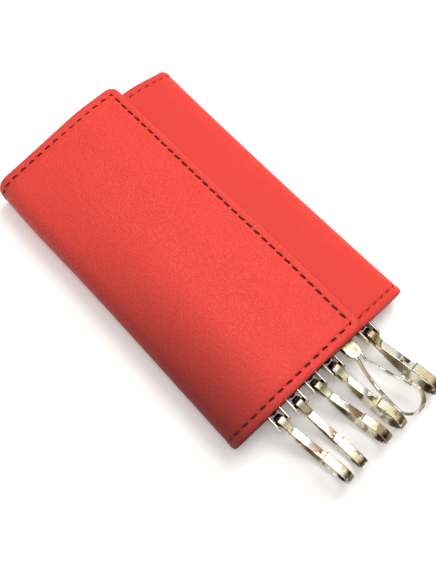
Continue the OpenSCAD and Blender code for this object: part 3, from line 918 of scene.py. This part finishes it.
neck = Vector((NECK_REACH, -NECK_HALF))
join = math.radians(END_DEG)
arm_end = Vector((END_X + END_R * math.cos(join), -END_R * math.sin(join)))
arm_bow = Vector((neck.x + 0.4 * (arm_end.x - neck.x), neck.y + 0.82 * (arm_end.y - neck.y)))
eye_exit = EYE_R * Vector((math.sin(math.radians(25)), -math.cos(math.radians(25))))
neck_pull = neck - 0.46 * (neck.x - eye_exit.x) * (arm_bow - neck).normalized()
tip_arm = [Vector((p.x, -p.y)) for p in reversed(bow(neck, arm_bow, arm_end, 8, 0.72, 1.0))]
LOOP_LINE = (arc((0, 0), EYE_R, -362, -66, 30) + bow(eye_exit, neck_pull, neck, 8)
             + bow(neck, arm_bow, arm_end, 18)[1:]
             + arc((END_X, 0), END_R, -END_DEG, END_DEG, 32)[1:] + tip_arm[1:])

# A gate's line: half a ring round the eye, a dip, and a straight leaf to behind the loop's tip
GATE_RING = EYE_IN + STRIP_T + GATE_PLAY + GATE_T / 2
gate_end = Vector((tip_arm[-1].x + GATE_LAP, END_R - STRIP_T / 2 - GATE_PLAY - GATE_T))
gate_start = GATE_RING * Vector((math.cos(math.radians(70)), math.sin(math.radians(70))))
gate_dip = gate_end * 0.26
gate_pull = Vector((0.72 * gate_dip.x, gate_start.y - 2 * 0.34 * gate_start.y))
GATE_LINE = (arc((0, 0), GATE_RING, 250, 70, 24) + bow(gate_start, gate_pull, gate_dip, 10)[1:]
             + [gate_dip + (gate_end - gate_dip) * k / 6 for k in range(1, 7)])


def ear_half(reach):
    """Half height of a bracket's ear at a distance in front of the pin."""
    return math.sqrt(max(0.0, EAR_HALF ** 2 - reach ** 2)) if reach > 0 else EAR_HALF


def bracket(i):
    """U bracket: a web and two ears with round ends."""
    side = EAR_GAP / 2 + EAR_T / 2
    back = -PIN_REACH + EAR_T / 2
    bend = EAR_BEND - EAR_T / 2
    tips = [EAR_HALF * math.sin(math.radians(90 * k / 9)) for k in range(10)]
    line = ([Vector((t, -side)) for t in reversed(tips)] + [Vector((-PIN_REACH * 0.5, -side))]
            + arc((back + bend, -side + bend), bend, 270, 180, 6)
            + arc((back + bend, side - bend), bend, 180, 90, 6)
            + [Vector((-PIN_REACH * 0.5, side))] + [Vector((t, side)) for t in tips])
    place = bracket_place(i)
    return bent_strip(line, lambda p: ear_half(p.x), EAR_T, 0.13,
                      lambda p, across: place @ Vector((p.x, p.y, across)))


def pin(i):
    """Cross pin with low domed ends."""
    end = EAR_GAP / 2 + EAR_T
    profile = [(0, -end - 0.06), (0.4, -end - 0.055), (0.7, -end - 0.04), (0.86, -end - 0.015),
               (0.9, -end + 0.01), (0.88, -end + 0.03), (PIN_R, -end + 0.03)]
    profile += [(r, -h) for r, h in reversed(profile)]
    return spun(profile, 32, bracket_place(i) @ Matrix.Rotation(math.radians(90), 4, "X"))


for i in range(1, HOOKS + 1):
    place = loop_place(i)

    def hook_lay(p, across, place=place):
        return place @ Vector((p.x, across, p.y))

    loop = made(f"hook_{i}_loop", bent_strip(LOOP_LINE, lambda p: STRIP_W / 2, STRIP_T, 0.16, hook_lay),
                loop_nickel)
    gate = made(f"hook_{i}_gate", bent_strip(GATE_LINE, lambda p: GATE_W / 2, GATE_T, 0.09, hook_lay),
                gate_nickel)
    swivel = made(f"hook_{i}_bracket", bracket(i), bracket_nickel)
    cross_pin = made(f"hook_{i}_pin", pin(i), pin_nickel)
    for thing, body, node in ((loop, "hook", "loop"), (gate, "gate", "gate"),
                              (swivel, "swivel", "bracket"), (cross_pin, "swivel", "pin")):
        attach(thing, f"{body}_{i}")
        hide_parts(f"{node}_{i}")


def plate_half(p):
    """Half the hook plate's length at a place on its line, less at its rounded corners."""
    far = min(p.x - (FLANGE_X - PLATE_FOOT), PANEL + FLANGE_H - p.y)
    if far >= PLATE_CORNER:
        return PLATE_LEN / 2
    cut = PLATE_CORNER - math.sqrt(max(0.0, PLATE_CORNER ** 2 - (PLATE_CORNER - far) ** 2))
    return PLATE_LEN / 2 - cut


foot_x = FLANGE_X - PLATE_FOOT
mid_x = FLANGE_X - PLATE_T / 2
mid_z = PANEL + PLATE_T / 2
corner_steps = [0, 0.05, 0.2, 0.42, 0.75, 1.15, PLATE_CORNER]
plate_line = ([Vector((foot_x + d, mid_z)) for d in corner_steps]
              + [Vector((foot_x + PLATE_FOOT / 2, mid_z))]
              + arc((mid_x - PLATE_BEND, mid_z + PLATE_BEND), PLATE_BEND, 270, 360, 8)
              + [Vector((mid_x, PANEL + FLANGE_H - d)) for d in reversed(corner_steps)])
plate = made("plate", bent_strip(plate_line, plate_half, PLATE_T, 0.15,
                                 lambda p, across: Vector((p.x, ROW_SHIFT + across, p.y))),
             plate_nickel)
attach(plate, "centre_panel")
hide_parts("hook_plate")


def dome(radius, height, foot, neck_r, root):
    """Half section of a rivet: domed head, short foot and shank."""
    head = [(radius * math.sin(a), foot + height * math.cos(a))
            for a in (math.radians(90 * k / 8) for k in range(9))]
    return head + [(radius - 0.05, foot - 0.08), (neck_r, foot - 0.1), (neck_r, root), (0, root)]


rivets = []
for side in (-1, 1):
    y = ROW_SHIFT + side * (HOOKS / 2 - 1) * HOOK_PITCH
    x = FLANGE_X - PLATE_FOOT / 2 - PLATE_T
    head = dome(PLATE_HEAD_R, PLATE_HEAD_H, 0.12, PLATE_RIVET_R, -1.6)
    rivets.append(spun(head, 40, Matrix.Translation((x, y, PANEL + PLATE_T))))
    rivets.append(spun([(0, 0.5), (2.3, 0.5), (2.38, 0.4), (2.38, 0.1), (2.3, 0), (0, 0)], 40,
                       Matrix.Translation((x, y, LEATHER + 0.05))))
plate_heads = made("plate_rivet_heads", joined(rivets), bright_nickel)
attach(plate_heads, "centre_panel")
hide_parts("plate_rivets")

rivets = []
for i in range(1, HOOKS + 1):
    turn = Matrix.Rotation(math.radians(90), 4, "Y")
    front = Matrix.Translation((WEB_X + EAR_T + SWIVEL_PLAY, hook_y(i), SWIVEL_Z)) @ turn
    rear = (Matrix.Translation((FLANGE_X - PLATE_T, hook_y(i), SWIVEL_Z)) @ turn
            @ Matrix.Rotation(math.pi, 4, "X"))
    # Each tall front head, in the dark painted nickel, stands in for the shade between its bracket's ears.
    rivets.append(spun(dome(SWIVEL_HEAD_R, SWIVEL_FRONT_H, 0.1, SWIVEL_SHANK_R, -1.4), 32, front))
    rivets.append(spun(dome(SWIVEL_HEAD_R, SWIVEL_REAR_H, 0.1, SWIVEL_SHANK_R - 0.01, -0.2), 32, rear))
swivel_heads = made("swivel_rivet_heads", joined(rivets), shade_painted_nickel)
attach(swivel_heads, "centre_panel")
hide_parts("swivel_rivets")


# Press stud, hidden until the case is opened: half sections as radius and height

stud_pieces = [
    ("socket_ring", [(1.15, -0.42), (2.9, -0.42), (3.02, -0.6), (3.1, -0.85), (3.25, -0.98), (3.7, -1.0),
                     (4.2, -0.92), (4.44, -0.7), (4.5, -0.4), (4.5, -0.06), (4.4, 0.0), (1.15, 0.0),
                     (1.15, -0.42)],
     OUTER_TOP - PANEL, "outer_flap", "snap_socket"),
    ("socket_post", [(0, -0.42), (0.8, -0.42), (1.08, -0.36), (1.1, 0.6), (2.95, 0.6), (2.95, 0.92),
                     (0, 0.92)],
     OUTER_TOP - PANEL, "outer_flap", "snap_socket_post"),
    ("stud_cap", [(0, 1.24), (0.9, 1.25), (1.5, 1.22), (1.85, 1.1), (1.98, 0.9), (1.95, 0.7), (1.75, 0.5),
                  (1.72, 0.42), (3.2, 0.4), (3.6, 0.32), (3.78, 0.16), (3.8, 0.03), (3.75, 0.0),
                  (1.13, 0.0), (1.13, 0.8), (0, 0.8)],
     INNER_TOP, "inner_flap", "snap_stud"),
    ("stud_post", [(0, 2.75), (1.0, 2.75), (1.08, 2.7), (1.1, 0.0), (2.6, -0.02), (2.9, -0.1), (3.0, -0.22),
                   (2.9, -0.32), (2.6, -0.35), (0.7, -0.35), (0.4, -0.2), (0, -0.2)],
     INNER_TOP - PANEL, "inner_flap", "snap_stud_post"),
]
for name, profile, z, body, node in stud_pieces:
    work = spun(profile, 48, Matrix.Translation((0, STUD_Y, z)))
    thing = made(name, work, bright_nickel)
    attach(thing, body)
    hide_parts(node)

for name in ("centre_board", "outer_flap_board", "inner_flap_board"):
    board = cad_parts[name]
    board.data.materials.clear()
    board.data.materials.append(grey_board)


# Table, light and camera, in metres

TABLE_HALF = 3.0
TABLE_DROP = 0.0003
SENSOR = 36.0
FOCAL_PX = 600
FRAME_PX = 584


def floor_finish():
    """Pale table top: soft clouds of white.

    It glows a little to the camera, which keeps its shadows light.
    """
    material = start("pale_table")
    place = solid_place()
    cloud = cloudy(place, 30.0, 3.0)
    tone = blended(rgb(246, 244, 243), rgb(252, 251, 250), cloud)
    finish(tone, 0.9 + cloud * 0.05)
    shader = Paint.tree.nodes["Principled BSDF"]
    shader.inputs["Emission Strength"].default_value = 1.0
    glow = blended(rgb(0, 0, 0), rgb(104, 103, 102), (ray(CAMERA_RAY) + ray(GLOSSY_RAY)).clamped())
    Paint.tree.links.new(glow.socket, shader.inputs["Emission Color"])
    return material


def lay_table():
    """A wide table top, just under the case."""
    work = bmesh.new()
    bmesh.ops.create_grid(work, x_segments=4, y_segments=4, size=TABLE_HALF)
    bmesh.ops.translate(work, vec=(0, 0, -TABLE_DROP), verts=work.verts[:])
    mesh = bpy.data.meshes.new("table")
    work.to_mesh(mesh)
    work.free()
    mesh.materials.append(floor_finish())
    shown("table", mesh)


def lamp(name, size, power, place, colour, mirrored):
    """A soft square lamp over the object. mirrored says whether gloss shows it."""
    light = bpy.data.lights.new(name, "AREA")
    light.size = size
    light.energy = power
    light.color = colour
    thing = shown(name, light)
    thing.location = place
    thing.rotation_euler = (-Vector(place)).to_track_quat("-Z", "Y").to_euler()
    thing.visible_glossy = mirrored


def room_light():
    """Plain fill, a darker room for gloss to show, and white behind the object."""
    world = bpy.data.worlds.new("room")
    bpy.context.scene.world = world
    world.use_nodes = True
    Paint.tree = world.node_tree
    direction = Paint.node("TexCoord")
    east, north, up = parts(direction)
    lit = (up * 0.8 + north * 0.6 - east * 0.2 + 0.05).mapped(0.0, 1.0)
    room = blended(rgb(84, 76, 72), rgb(228, 226, 224), lit)
    height = up - north * 0.45 + east * 0.25 + (cloudy(direction, 1.6, 2.0) - 0.5) * 0.4
    mirror = Paint.node("ValToRGB", {"stops": [
        (0.0, rgb(110, 96, 78)), (0.2, rgb(60, 46, 34)), (0.45, rgb(70, 56, 44)), (0.6, rgb(150, 134, 104)),
        (0.72, rgb(244, 236, 214)), (0.85, rgb(255, 255, 255))]}, {0: height})
    light = blended(room, mirror, ray(GLOSSY_RAY))
    light = blended(light, rgb(255, 255, 255), (ray(CAMERA_RAY) + ray(TRANSMISSION_RAY)).clamped())
    backdrop = Paint.tree.nodes["Background"]
    Paint.tree.links.new(light.socket, backdrop.inputs["Color"])
    backdrop.inputs["Strength"].default_value = 1.0


def set_camera():
    """The photograph's view, fitted to the case's corners, folds and hook row."""
    camera = bpy.data.cameras.new("camera")
    camera.sensor_fit = "AUTO"
    camera.sensor_width = SENSOR
    camera.lens = FOCAL_PX / FRAME_PX * SENSOR
    camera.clip_start = 0.01
    view = shown("camera", camera)
    right = Vector((0.67773459, 0.735285201, -0.005612258))
    down = Vector((0.696369489, -0.644278194, -0.316188464))
    forward = Vector((-0.236104554, 0.210383653, -0.948679797))
    turn = Matrix((right, -down, -forward)).transposed().to_4x4()
    view.matrix_world = Matrix.Translation((0.05727821, -0.04259911, 0.16883287)) @ turn
    bpy.context.scene.camera = view


lay_table()
lamp("window", 0.3, 1.85, (-0.1, 0.29, 0.44), (1.0, 0.985, 0.96), False)
lamp("ceiling", 0.22, 0.7, (-0.04, -0.06, 0.52), (1.0, 0.99, 0.97), True)
room_light()
set_camera()
bpy.context.scene.view_settings.view_transform = "Standard"
